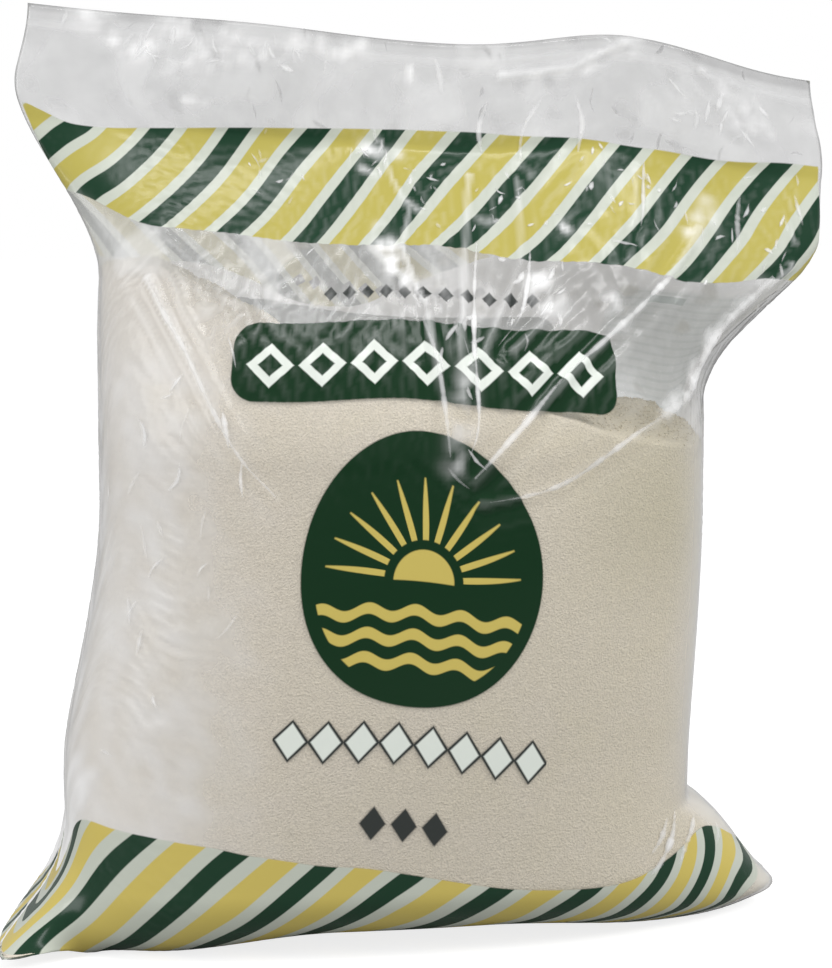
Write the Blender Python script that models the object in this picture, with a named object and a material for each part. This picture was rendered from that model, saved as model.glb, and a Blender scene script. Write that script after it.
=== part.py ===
"""A filled five-kilogram bag of sugar in clear film, standing on its base.

The bag is two flat film panels joined along all four edges. Sugar fills it into a deep oval
body that stands on a flat base. Above the sugar the panels close to a flat, wavy flap that
ends in the top seal, and the two bottom corners stick out at the base as ears.
X runs to the right as the front is seen, Y to the back, Z up. Units are metres.
"""

import math

import bmesh
import bpy

# The filled body: an oval in plan, boxy across its depth and boxier still at the base.
BODY_HALF_WIDTH = 0.1048
BODY_FRONT_DEPTH = 0.0670
BODY_BACK_DEPTH = 0.0650
BASE_SPREAD = 0.0065
BELLY_SWELL = 0.0030
SIDE_ROUNDING = 0.0120
FRONT_ROUNDING = 0.0240
ROUNDNESS = 0.62
BASE_BOXINESS = {"start": 0.000, "end": 0.070, "reach": 0.20}

# The axis starts left of the middle and leans to the right as it rises. The spread of the
# base ends at the same height as the body's own lean.
AXIS_AT_BASE = -0.0100
BODY_LEAN = {"start": 0.020, "end": 0.150, "reach": 0.0120}
FLAP_LEAN = {"start": 0.200, "end": 0.300, "reach": 0.0060}

# The shoulder, where front and back close towards each other above the sugar. Fullness keeps
# it deep near the start, and taper thins it out towards the end.
SHOULDER_START = 0.165
SHOULDER_END = 0.274
SHOULDER_FULLNESS = 2
SHOULDER_TAPER = 1.45
FLAP_HALF_THICKNESS = 0.0012

# The flap, wider than the body because it is not filled. Each side flares at its own height.
# The top corners are drawn in a little.
FLARE_LEFT = {"start": 0.222, "end": 0.286, "reach": 0.0325}
FLARE_RIGHT = {"start": 0.182, "end": 0.247, "reach": 0.0425}
FLARE_SHARPNESS = 9
CORNER = {"start": 0.276, "draw": 0.0050}
FLAP_TOP = 0.3070
FLAP_TILT = math.radians(5.2)
TILT_START = 0.170
LOOSE = {"start": 0.235, "end": 0.310}
FLAP_WAVES = ({"length": 0.145, "depth": 0.0070, "phase": 0.6}, {"length": 0.083, "depth": 0.0030, "phase": 2.2})
EDGE_BUMP = {"at": 0.080, "rise": 0.0085, "width": 0.036}

# The ears, the two bottom corners of the film.
EAR_LEFT = {"reach": 0.0270, "height": 0.040, "tip": 0.0, "falloff": 1.6, "turn": -0.030}
EAR_RIGHT = {"reach": 0.0430, "height": 0.043, "tip": 0.008, "falloff": 0.75, "turn": 0.004}
EAR_SHARPNESS = 21
EAR_UNDERSIDE = 0.40
EAR_CREASE = 0.010

# Long folds that run down from the flap's corners over the shoulder of each panel:
# where each starts and ends (across, height), how far it stands out and how wide it is.
FRONT_FOLDS = (
    {"from": (-0.105, 0.240), "to": (-0.052, 0.158), "stand": 0.0030, "width": 0.0080},
    {"from": (0.124, 0.214), "to": (0.028, 0.160), "stand": 0.0034, "width": 0.0080},
    {"from": (0.092, 0.236), "to": (0.018, 0.160), "stand": 0.0030, "width": 0.0075},
    {"from": (0.034, 0.256), "to": (0.016, 0.176), "stand": 0.0026, "width": 0.0075},
    {"from": (0.010, 0.256), "to": (0.008, 0.176), "stand": 0.0026, "width": 0.0075},
)
BACK_FOLDS = (
    {"from": (-0.110, 0.244), "to": (-0.024, 0.150), "stand": 0.0032, "width": 0.0090},
    {"from": (0.120, 0.232), "to": (0.040, 0.140), "stand": 0.0030, "width": 0.0090},
)
FOLD_RISE = {"start": -0.15, "end": 0.20}
FOLD_FADE = {"start": 0.75, "end": 1.10}
FOLD_DEPTH = {"start": 0.004, "end": 0.030}
SEAM_SWING = 0.45

# Mesh: quads across each panel, and bands of rows as (top of the band, rows in it).
PANEL_COLUMNS = 42
ROW_BANDS = ((0.0, 1), (0.024, 6), (0.054, 5), (0.170, 9), (0.270, 13), (1.0, 6))
WELD = 0.00001


def ease(value, start, end):
    """0 before start, 1 after end, and a smooth rise between."""
    share = min(1.0, max(0.0, (value - start) / (end - start)))
    return share * share * (3 - 2 * share)


def eased(value, span):
    return ease(value, span["start"], span["end"])


def axis_x(z):
    return AXIS_AT_BASE + sum(lean["reach"] * eased(z, lean) for lean in (BODY_LEAN, FLAP_LEAN))


def bottom_inset(z, rounding):
    """How far a rounded bottom edge pulls in the outline."""
    if z >= rounding:
        return 0.0
    below = 1 - z / rounding
    return rounding * (1 - math.sqrt(1 - below * below))


def body_half_width(z):
    return BODY_HALF_WIDTH + BASE_SPREAD * (1 - eased(z, BODY_LEAN)) - bottom_inset(z, SIDE_ROUNDING)


def plan_power(z):
    return ROUNDNESS - BASE_BOXINESS["reach"] * (1 - eased(z, BASE_BOXINESS))


def closing(z):
    """1 along the body, falling to 0 where the two panels meet above the sugar."""
    share = min(1.0, max(0.0, (z - SHOULDER_START) / (SHOULDER_END - SHOULDER_START)))
    return (1 - share ** SHOULDER_FULLNESS) ** SHOULDER_TAPER


def half_depth(z, full):
    belly = BELLY_SWELL * math.sin(math.pi * min(1.0, z / SHOULDER_START))
    return max(FLAP_HALF_THICKNESS, (full - bottom_inset(z, FRONT_ROUNDING) + belly) * closing(z))


def flare_reach(z, flare):
    return flare["reach"] * eased(z, flare) - CORNER["draw"] * ease(z, CORNER["start"], FLAP_TOP)


def ear_reach(z, ear):
    """How far an ear stands out past the body at this height."""
    if z >= ear["height"]:
        return 0.0
    if z < ear["tip"]:
        rise = math.sin(0.5 * math.pi * z / ear["tip"])
        return ear["reach"] * (EAR_UNDERSIDE + (1 - EAR_UNDERSIDE) * rise)
    share = (ear["height"] - z) / (ear["height"] - ear["tip"])
    return ear["reach"] * share ** ear["falloff"]


def fold_height(x, z, folds):
    """The relief of all the folds of one panel at this place."""
    height = 0.0
    for fold in folds:
        (x0, z0), (x1, z1) = fold["from"], fold["to"]
        length = math.hypot(x1 - x0, z1 - z0)
        along = ((x - x0) * (x1 - x0) + (z - z0) * (z1 - z0)) / length ** 2
        aside = ((x - x0) * (z1 - z0) - (z - z0) * (x1 - x0)) / length
        fade = eased(along, FOLD_RISE) * (1 - eased(along, FOLD_FADE))
        height += fold["stand"] * fade * math.exp(-((aside / fold["width"]) ** 2))
    return height


def flap_wave(x, z):
    """How far the whole flap swings back and forth; it is still at the shoulder."""
    swing = sum(w["depth"] * math.sin(2 * math.pi * x / w["length"] + w["phase"]) for w in FLAP_WAVES)
    return eased(z, LOOSE) * swing


def top_height(x):
    """The top seal's own height above the nominal one: tilted, with one low bump."""
    bump = EDGE_BUMP["rise"] * math.exp(-(((x - EDGE_BUMP["at"]) / EDGE_BUMP["width"]) ** 2))
    return bump - math.tan(FLAP_TILT) * x


def film_point(across, z, side):
    """The film at one height. across runs from -1 at the left edge to 1 at the right edge,
    and side is -1 on the front panel and 1 on the back panel."""
    turn = 0.5 * math.pi * across
    ear, flare = (EAR_LEFT, FLARE_LEFT) if across < 0 else (EAR_RIGHT, FLARE_RIGHT)
    out = math.copysign(1.0, across)
    near_edge = abs(math.sin(turn))
    ear_share = near_edge ** EAR_SHARPNESS
    flare_share = near_edge ** FLARE_SHARPNESS
    ear_now = ear_reach(z, ear)
    ear_now += bottom_inset(z, SIDE_ROUNDING) * ease(ear_now, 0.0, EAR_CREASE)
    x = axis_x(z) + body_half_width(z) * math.sin(turn)
    x += out * (ear_now * ear_share + flare_reach(z, flare) * flare_share)
    depth = half_depth(z, BODY_FRONT_DEPTH if side < 0 else BODY_BACK_DEPTH)
    y = side * depth * math.cos(turn) ** plan_power(z) if abs(across) < 1 else 0.0
    y += ear["turn"] * ear_share * ear_now / ear["reach"]
    folds = FRONT_FOLDS if side < 0 else BACK_FOLDS
    y += side * fold_height(x, z, folds) * math.cos(turn) * eased(depth, FOLD_DEPTH)
    y += flap_wave(x, z)
    return x, y, z + ease(z, TILT_START, FLAP_TOP) * top_height(x)


def seam_y(x):
    """The bottom seam, which runs under the base from the left ear's tip to the right one's."""
    left_x, left_y, _ = film_point(-1, 0.0, -1)
    right_x, right_y, _ = film_point(1, 0.0, -1)
    return left_y + (right_y - left_y) * ease(x, left_x, left_x + SEAM_SWING * (right_x - left_x))


def row_heights():
    """The height of each row above the seam's row, closest together at the ears and shoulder."""
    heights, bottom = [], 0.0
    for top, rows in ROW_BANDS:
        top = min(top, FLAP_TOP)
        heights += [bottom + (top - bottom) * (row + 1) / rows for row in range(rows)]
        bottom = top
    return heights


def panel(side, heights):
    """One film panel, a grid shaped by film_point. Its lowest row is the seam under the base."""
    mesh = bmesh.new()
    bmesh.ops.create_grid(mesh, x_segments=PANEL_COLUMNS, y_segments=len(heights), size=1)
    for vertex in mesh.verts:
        across = vertex.co.x
        row = round((vertex.co.y + 1) / 2 * len(heights))
        if row == 0:
            x, _, _ = film_point(across, 0.0, side)
            vertex.co = (x, seam_y(x), 0.0)
            continue
        x, y, z = film_point(across, heights[row - 1], side)
        if row == len(heights):
            y = flap_wave(x, heights[-1])
        vertex.co = (x, y, z)
    return mesh


def bag_mesh():
    """Front and back panels welded along the sides, the top seal and the bottom seam."""
    heights = row_heights()
    whole = bmesh.new()
    for side in (-1, 1):
        half = panel(side, heights)
        part = bpy.data.meshes.new("panel")
        half.to_mesh(part)
        half.free()
        whole.from_mesh(part)
        bpy.data.meshes.remove(part)
    bmesh.ops.remove_doubles(whole, verts=whole.verts, dist=WELD)
    bmesh.ops.recalc_face_normals(whole, faces=whole.faces)
    mesh = bpy.data.meshes.new("sugar_bag")
    whole.to_mesh(mesh)
    whole.free()
    return mesh


def centre_on_base(mesh):
    """Puts the middle of the bag's box over the origin, with the base at Z 0."""
    for axis in (0, 1):
        values = [vertex.co[axis] for vertex in mesh.vertices]
        middle = (min(values) + max(values)) / 2
        for vertex in mesh.vertices:
            vertex.co[axis] -= middle


def film_material():
    material = bpy.data.materials.new("sugar_in_film")
    material.use_nodes = True
    shader = material.node_tree.nodes["Principled BSDF"]
    shader.inputs["Base Color"].default_value = (0.66, 0.61, 0.53, 1)
    shader.inputs["Roughness"].default_value = 0.25
    shader.inputs["Metallic"].default_value = 0.0
    return material


def build():
    for old in list(bpy.data.objects):
        bpy.data.objects.remove(old)
    collection = bpy.data.collections.new("sugar_bag")
    bpy.context.scene.collection.children.link(collection)
    mesh = bag_mesh()
    centre_on_base(mesh)
    mesh.shade_smooth()
    mesh.materials.append(film_material())
    bag = bpy.data.objects.new("sugar_bag", mesh)
    collection.objects.link(bag)


build()
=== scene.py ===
import math

import bmesh
import bpy
import numpy as np
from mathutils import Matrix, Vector
from mathutils.geometry import delaunay_2d_cdt


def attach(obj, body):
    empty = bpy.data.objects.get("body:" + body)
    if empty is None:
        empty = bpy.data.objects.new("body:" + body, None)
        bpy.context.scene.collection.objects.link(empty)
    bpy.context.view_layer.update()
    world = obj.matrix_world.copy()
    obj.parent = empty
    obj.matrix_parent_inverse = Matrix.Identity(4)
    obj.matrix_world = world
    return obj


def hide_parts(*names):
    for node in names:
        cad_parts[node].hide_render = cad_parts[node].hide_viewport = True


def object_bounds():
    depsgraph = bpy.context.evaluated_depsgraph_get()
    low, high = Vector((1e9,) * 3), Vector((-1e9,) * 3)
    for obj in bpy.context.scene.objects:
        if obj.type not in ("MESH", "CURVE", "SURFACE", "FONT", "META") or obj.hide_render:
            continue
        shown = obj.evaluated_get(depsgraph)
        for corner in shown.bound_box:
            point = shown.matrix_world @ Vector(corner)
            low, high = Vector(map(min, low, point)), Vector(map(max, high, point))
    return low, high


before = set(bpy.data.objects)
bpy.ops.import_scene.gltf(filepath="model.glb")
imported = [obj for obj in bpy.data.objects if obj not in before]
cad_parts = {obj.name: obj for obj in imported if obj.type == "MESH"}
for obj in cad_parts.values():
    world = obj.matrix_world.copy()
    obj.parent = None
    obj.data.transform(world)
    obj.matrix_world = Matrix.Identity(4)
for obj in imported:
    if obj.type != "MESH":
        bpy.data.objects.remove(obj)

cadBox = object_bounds()

# The bag's own shape, in metres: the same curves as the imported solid.
bag = {
    "halfWidth": 0.1048,
    "frontDepth": 0.0670,
    "backDepth": 0.0650,
    "baseSpread": 0.0065,
    "bellySwell": 0.0030,
    "sideRounding": 0.0120,
    "frontRounding": 0.0240,
    "roundness": 0.62,
    "baseBoxiness": (0.000, 0.070, 0.20),
    "axisAtBase": -0.0100,
    "bodyLean": (0.020, 0.150, 0.0120),
    "flapLean": (0.200, 0.300, 0.0060),
    "shoulderStart": 0.165,
    "shoulderEnd": 0.274,
    "shoulderTaper": 1.45,
    "flapHalfThickness": 0.0012,
    "flareLeft": (0.222, 0.286, 0.0325),
    "flareRight": (0.182, 0.247, 0.0425),
    "flareSharpness": 9,
    "cornerStart": 0.276,
    "cornerDraw": 0.0050,
    "flapTop": 0.3070,
    "flapTilt": math.radians(5.2),
    "tiltStart": 0.170,
    "loose": (0.235, 0.310),
    "waves": ((0.145, 0.0070, 0.6), (0.083, 0.0030, 2.2)),
    "edgeBump": (0.080, 0.0085, 0.036),
    "earLeft": {"reach": 0.0270, "height": 0.040, "tip": 0.0, "falloff": 1.6, "turn": -0.030},
    "earRight": {"reach": 0.0430, "height": 0.043, "tip": 0.008, "falloff": 0.75, "turn": 0.004},
    "earSharpness": 21,
    "earUnderside": 0.40,
    "earCrease": 0.010,
    "seamSwing": 0.45,
}


view = {
    "azimuth": -9.0,
    "elevation": 7.0,
    "distance": 0.95,
    "lens": 100.6,
    "sensor": 36,
    "clipStart": 0.05,
    "aim": (0.0043, 0.0, 0.1530),
}


def newObject(name, data):
    made = bpy.data.objects.new(name, data)
    bpy.context.scene.collection.objects.link(made)
    return made


def makeCamera():
    azimuth, elevation = math.radians(view["azimuth"]), math.radians(view["elevation"])
    level = Vector((math.sin(azimuth), -math.cos(azimuth), 0)) * math.cos(elevation)
    back = level + Vector((0, 0, math.sin(elevation)))
    data = bpy.data.cameras.new("camera")
    data.lens = view["lens"]
    data.sensor_width = view["sensor"]
    data.clip_start = view["clipStart"]
    camera = newObject("camera", data)
    camera.location = Vector(view["aim"]) + back * view["distance"]
    camera.rotation_euler = (-back).to_track_quat("-Z", "Y").to_euler()
    bpy.context.scene.camera = camera


makeCamera()
print("camera ready")


# The long tables of places are in millimetres.
def metres(places):
    return np.array(places) / 1000


def ease(value, start, end):
    share = np.clip((value - start) / (end - start), 0.0, 1.0)
    return share * share * (3 - 2 * share)


def eased(value, span):
    return span[2] * ease(value, span[0], span[1])


def bottomInset(z, rounding):
    below = 1 - np.minimum(z, rounding) / rounding
    return rounding * (1 - np.sqrt(1 - below * below))


def earReach(z, ear):
    if z >= ear["height"]:
        return 0.0
    if z < ear["tip"]:
        rise = math.sin(0.5 * math.pi * z / ear["tip"])
        return ear["reach"] * (bag["earUnderside"] + (1 - bag["earUnderside"]) * rise)
    return ear["reach"] * ((ear["height"] - z) / (ear["height"] - ear["tip"])) ** ear["falloff"]


def flapWave(x, z):
    swing = sum(depth * np.sin(2 * math.pi * x / length + phase) for length, depth, phase in bag["waves"])
    return ease(z, *bag["loose"]) * swing


def topHeight(x):
    at, rise, width = bag["edgeBump"]
    return rise * np.exp(-(((x - at) / width) ** 2)) - math.tan(bag["flapTilt"]) * x


def halfDepth(z, full):
    belly = bag["bellySwell"] * math.sin(math.pi * min(1.0, z / bag["shoulderStart"]))
    share = np.clip((z - bag["shoulderStart"]) / (bag["shoulderEnd"] - bag["shoulderStart"]), 0, 1)
    closing = (1 - share ** 2) ** bag["shoulderTaper"]
    return max(bag["flapHalfThickness"], (full - bottomInset(z, bag["frontRounding"]) + belly) * closing)


# One level of a panel: across runs from -1 to 1, side is -1 in front and 1 behind.
def levelPoints(across, z, side):
    turn = 0.5 * math.pi * across
    edge = np.abs(np.sin(turn))
    axis = bag["axisAtBase"] + eased(z, bag["bodyLean"]) + eased(z, bag["flapLean"])
    spread = bag["baseSpread"] * (1 - ease(z, *bag["bodyLean"][:2]))
    width = bag["halfWidth"] + spread - bottomInset(z, bag["sideRounding"])
    x = axis + width * np.sin(turn)
    swing = np.zeros_like(across)
    for half, name in ((-1, "Left"), (1, "Right")):
        ear, flare = bag["ear" + name], bag["flare" + name]
        here = np.sign(across) == half
        reach = earReach(z, ear)
        reach += bottomInset(z, bag["sideRounding"]) * ease(reach, 0.0, bag["earCrease"])
        flareNow = eased(z, flare) - bag["cornerDraw"] * ease(z, bag["cornerStart"], bag["flapTop"])
        x = x + here * half * (reach * edge ** bag["earSharpness"] + flareNow * edge ** bag["flareSharpness"])
        swing = swing + here * ear["turn"] * edge ** bag["earSharpness"] * reach / ear["reach"]
    start, end, boxy = bag["baseBoxiness"]
    power = bag["roundness"] - boxy * (1 - ease(z, start, end))
    depth = halfDepth(z, bag["frontDepth"] if side < 0 else bag["backDepth"])
    y = side * depth * np.clip(np.cos(turn), 0, 1) ** power
    y[np.abs(across) == 1] = 0
    y = y + swing + flapWave(x, z)
    if z >= bag["flapTop"]:
        y = flapWave(x, z)
    return np.stack([x, y, z + ease(z, bag["tiltStart"], bag["flapTop"]) * topHeight(x)], 1)


def seamPoints(across):
    points = levelPoints(across, 0.0, -1)
    left, right = points[0], points[-1]
    share = ease(points[:, 0], left[0], left[0] + bag["seamSwing"] * (right[0] - left[0]))
    points[:, 1] = left[1] + (right[1] - left[1]) * share
    points[:, 2] = 0
    return points


film = {
    "pitch": 0.00155,
    "halfWidth": 0.1496,
    "height": 0.392,
    "baseRows": 12,
    "levels": 260,
    "sweep": 601,
    "curl": 0.0062,
    "curlHeight": 0.036,
    "curlFront": (0.004, 0.045),
    "curlRise": (-0.095, -0.030),
    "curlFade": (0.020, 0.105),
    "earFrom": (0.100, 0.138),
    "earHeight": (0.020, 0.075),
    "earPull": (0.0080, 0.0075),
    "earTip": (0.112, 0.135),
    "earLift": 0.0045,
}


# The length along a line, up to each of its points.
def lengthsOf(points):
    return np.concatenate([[0], np.cumsum(np.linalg.norm(np.diff(points, axis=0), axis=1))])


def evenly(points, count):
    lengths = lengthsOf(points)
    at = np.linspace(0, lengths[-1], count)
    return np.stack([np.interp(at, lengths, values) for values in points.T], 1), lengths[-1]


# A level's points, evenly spaced on each side of the middle column.
def evenHalves(line):
    middle = len(line) // 2
    left = evenly(line[:middle + 1], columns // 2 + 1)[0]
    right = evenly(line[middle:], columns // 2 + 1)[0]
    return np.concatenate([left, right[1:]])


# Rows run from the seam under the base, over the front or back, to the top edge.
def panelGrid(side):
    across = np.linspace(-1, 1, film["sweep"])
    seam, outline = seamPoints(across), levelPoints(across, 0.0, side)
    lines = [seam + (outline - seam) * k / film["baseRows"] for k in range(film["baseRows"])]
    lines += [levelPoints(across, z, side) for z in np.linspace(0, bag["flapTop"], film["levels"])]
    coarse = np.stack([evenHalves(line) for line in lines])
    grid = np.zeros((rows, columns, 3))
    lengths = np.zeros(columns)
    for c in range(columns):
        grid[:, c], lengths[c] = evenly(coarse[:, c], rows)
    return grid, np.linspace(0, 1, rows)[:, None] * lengths


# The front of the base curls up a little, and the ears are drawn in.
def curled(points):
    x, y, z = np.moveaxis(points, -1, 0)
    low = np.clip(1 - z / film["curlHeight"], 0, 1) ** 2
    share = low * ease(-y, *film["curlFront"]) * ease(x, *film["curlRise"]) * (1 - ease(x, *film["curlFade"]))
    near = 1 - ease(z, *film["earHeight"])
    pull = film["earPull"][0] * ease(-x, *film["earFrom"]) - film["earPull"][1] * ease(x, *film["earFrom"])
    tip = film["earLift"] * ease(-x, *film["earTip"]) * low
    return np.stack([x + pull * near, y, z + film["curl"] * share + tip], -1)


columns = 1 + 2 * round(film["halfWidth"] / film["pitch"])
rows = 1 + round(film["height"] / film["pitch"])
frontGrid, frontPath = panelGrid(-1)
backGrid, backPath = panelGrid(1)
low = np.minimum(frontGrid.min((0, 1)), backGrid.min((0, 1)))
high = np.maximum(frontGrid.max((0, 1)), backGrid.max((0, 1)))
shift = (np.array(cadBox[0]) + np.array(cadBox[1]) - low - high) / 2
shift[2] = 0
home = curled(np.stack([frontGrid, backGrid]) + shift)
path = np.stack([frontPath, backPath])
print("film grid", rows, "by", columns, "centre path", path[0, -1, columns // 2].round(4))

# Both panels share their rims, so the film is one closed surface.
frontIndex = np.arange(rows * columns).reshape(rows, columns)
backIndex = frontIndex.copy()
backIndex[1:-1, 1:-1] = rows * columns + np.arange((rows - 2) * (columns - 2)).reshape(rows - 2, columns - 2)
pointCount = rows * columns + (rows - 2) * (columns - 2)


def onePoint(panels):
    points = np.zeros((pointCount, panels.shape[-1]))
    points[backIndex] = panels[1]
    points[frontIndex] = panels[0]
    return points


# The four corners of each face of a grid: point numbers, or whatever else the grid holds.
def quads(grid, flip):
    corners = [grid[:-1, :-1], grid[:-1, 1:], grid[1:, 1:], grid[1:, :-1]]
    if flip:
        corners.reverse()
    return np.stack([corner.reshape(-1, *grid.shape[2:]) for corner in corners], 1)


faces = np.concatenate([quads(frontIndex, False), quads(backIndex, True)])


def panelNormals(panels):
    points = onePoint(panels)
    turned = np.cross(points[faces[:, 2]] - points[faces[:, 0]], points[faces[:, 3]] - points[faces[:, 1]])
    total = np.zeros_like(points)
    for k in range(3):
        total[:, k] = sum(np.bincount(faces[:, corner], turned[:, k], pointCount) for corner in range(4))
    total /= np.maximum(np.linalg.norm(total, axis=1), 1e-12)[:, None]
    return np.stack([total[frontIndex], total[backIndex]])


# The film laid flat: metres across from the middle, and up from the seam under the base.
flat = {
    "seam": 0.083,
    "seamBow": (-0.012, 0.0125, 0.045),
    "seamLeft": (0.055, 0.125, 0.024),
    "seamRight": (0.112, 0.135, 0.006),
    "seamUp": 0.0935,
    "tilt": math.radians(5.0),
    "tiltEnd": (0.06, 0.32),
    "blend": (0.030, 0.120),
}


# Low down it is measured from the seam, which bows and swings, and high up from the top edge.
def flatUp():
    at, bow, width = flat["seamBow"]
    seam = flat["seam"] + bow * np.exp(-(((across - at) / width) ** 2))
    seam = seam - eased(-across, flat["seamLeft"]) - eased(across, flat["seamRight"])
    lower = path - seam + flat["seamUp"]
    upper = film["height"] - (path[:, -1:] - path)
    upper += math.tan(flat["tilt"]) * (1 - ease(home[..., 2], *flat["tiltEnd"])) * home[..., 0]
    share = ease(home[..., 2], *flat["blend"])
    return lower * (1 - share) + upper * share


across = np.broadcast_to(np.linspace(-film["halfWidth"], film["halfWidth"], columns), home.shape[:3])
up = flatUp()
fromTop = film["height"] - up

# Sharp folds, as lines on the flat film: a size, then millimetres across and below the top edge.
folds = {
    "rise": 0.0017,
    "width": 0.0027,
    "lines": (
        (1.0, (-110, 100), (-98, 114), (-87, 127), (-67, 159), (-53, 174)),
        (1.2, (134, 66), (118, 93), (105, 122), (77, 146), (45, 166), (18, 174)),
        (1.2, (98, 62), (84, 94), (64, 119), (35, 146), (15, 167)),
        (0.9, (19, 48), (15.5, 81), (13, 118), (13, 140)),
        (0.8, (36, 46), (34, 86), (26, 110), (21, 124)),
        (1.1, (-7, 83), (2, 114), (4.5, 136), (6.5, 161)),
        (0.9, (17.5, 128), (17.5, 148), (12, 156), (12, 165)),
        (0.8, (49, 102), (41, 112), (32, 121)),
        (1.2, (30, 11.5), (56, 10.5), (69, 5), (74, 3)),
        (0.9, (101, 6), (110, 12.5), (115, 18.5)),
        (0.7, (78, 46), (76, 64), (73, 82)),
        (0.7, (136.5, 40), (134.5, 57)),
        (0.9, (-13, 36), (-9, 52), (-3, 66), (-6, 80)),
    ),
}


def awayFrom(line):
    nearest = np.full(across[0].shape, 1.0)
    line = metres(line)
    for (startX, startY), (endX, endY) in zip(line[:-1], line[1:]):
        runX, runY = endX - startX, endY - startY
        share = ((across[0] - startX) * runX + (fromTop[0] - startY) * runY) / (runX ** 2 + runY ** 2)
        share = np.clip(share, 0, 1)
        away = np.hypot(across[0] - startX - share * runX, fromTop[0] - startY - share * runY)
        nearest = np.minimum(nearest, away)
    return nearest


def foldRise():
    rise = np.zeros(home.shape[:3])
    for size, *line in folds["lines"]:
        ridge = size * folds["rise"] * np.exp(-((awayFrom(line) / folds["width"]) ** 2))
        rise[0] = np.maximum(rise[0], ridge)
    return rise


# The film is longer than the bag is round, so it buckles where it isn't pulled tight. Slack is given
# across the film, then up it; a link is rows down, columns over and a strength.
crumple = {
    "seed": 11,
    "seedSize": 0.0011,
    "facets": ((330, 1.0), (1500, 0.60)),
    "facetBlur": 2,
    "steps": 260,
    "momentum": 0.80,
    "haste": 1.6,
    "links": (
        (0, 1, 1), (1, 0, 1), (1, 1, 0.7), (1, -1, 0.7), (0, 2, 0.3), (2, 0, 0.3), (0, 4, 0.3), (4, 0, 0.3),
    ),
    "hold": 0.004,
    "flapAt": (-0.100, -0.070),
    "neckAt": (-0.190, -0.120),
    "leftAt": (0.030, 0.080),
    "rightAt": (0.050, 0.100),
    "earAt": (0.110, 0.135),
    "earBelow": (-0.130, -0.090),
    "flapSlack": (0.011, 0.010),
    "neckSlack": (0.022, 0.008),
    "leftSlack": (0.010, 0.010),
    "rightSlack": (0.004, 0.003),
    "tightSlack": (0.001, 0.001),
    "earSlack": (0.020, 0.020),
    "inward": 0.0010,
    "outward": 0.0034,
    "slide": 0.0040,
    "rim": (0.118, 0.138),
    "rimHold": 0.75,
    "floorGap": 0.0003,
}


def slackMaps():
    flap = ease(-fromTop, *crumple["flapAt"])
    neck = ease(-fromTop, *crumple["neckAt"]) * (1 - flap)
    body = 1 - np.maximum(flap, neck)
    left = ease(-across, *crumple["leftAt"]) * body
    right = ease(across, *crumple["rightAt"]) * body
    ear = ease(np.abs(across), *crumple["earAt"]) * ease(-up, *crumple["earBelow"])
    maps = []
    for k in range(2):
        slack = crumple["tightSlack"][k] + flap * crumple["flapSlack"][k] + neck * crumple["neckSlack"][k]
        sides = left * crumple["leftSlack"][k] + right * crumple["rightSlack"][k]
        slack += sides + ear * crumple["earSlack"][k]
        maps.append(slack)
    return maps


def blurred(values, rounds):
    for _ in range(rounds):
        padded = np.pad(values, 1, mode="edge")
        around = padded[:-2, 1:-1] + padded[2:, 1:-1] + padded[1:-1, :-2] + padded[1:-1, 2:]
        values = 0.5 * values + 0.125 * around
    return values


# Flat facets with sharp edges between them, as in crushed film.
def facetPanel(dice, count):
    corners = [(0, 0), (columns - 1, 0), (0, rows - 1), (columns - 1, rows - 1)]
    spots = np.concatenate([corners, dice.uniform((0, 0), (columns - 1, rows - 1), (count, 2))])
    heights = dice.normal(0, 1, len(spots))
    panel = np.zeros((rows, columns))
    for triangle in delaunay_2d_cdt([Vector(spot) for spot in spots], [], [], 0, 1e-6)[2]:
        places, sizes = spots[list(triangle)], heights[list(triangle)]
        low = np.floor(places.min(0)).astype(int)
        high = np.ceil(places.max(0)).astype(int) + 1
        x, y = np.meshgrid(np.arange(low[0], high[0]), np.arange(low[1], high[1]))
        offX, offY = x - places[0, 0], y - places[0, 1]
        (runX, runY), (turnX, turnY) = places[1:] - places[0]
        area = runX * turnY - turnX * runY
        toSecond = (offX * turnY - turnX * offY) / area
        toThird = (runX * offY - offX * runY) / area
        held = (toSecond >= -1e-6) & (toThird >= -1e-6) & (toSecond + toThird <= 1 + 1e-6)
        height = sizes[0] * (1 - toSecond - toThird) + sizes[1] * toSecond + sizes[2] * toThird
        panel[y[held], x[held]] = height[held]
    return panel


def crushed(dice):
    panels = [sum(share * facetPanel(dice, count) for count, share in crumple["facets"]) for _ in range(2)]
    panels = np.stack([blurred(panel, crumple["facetBlur"]) for panel in panels])
    return panels / panels.std()


# The two ends of every link of one kind.
def linkEnds(panels, down, over):
    nearRow, farRow = slice(0, rows - down), slice(down, rows)
    nearColumn, farColumn = slice(0, columns - abs(over)), slice(abs(over), columns)
    if over < 0:
        nearColumn, farColumn = farColumn, nearColumn
    return panels[:, nearRow, nearColumn], panels[:, farRow, farColumn]


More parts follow.
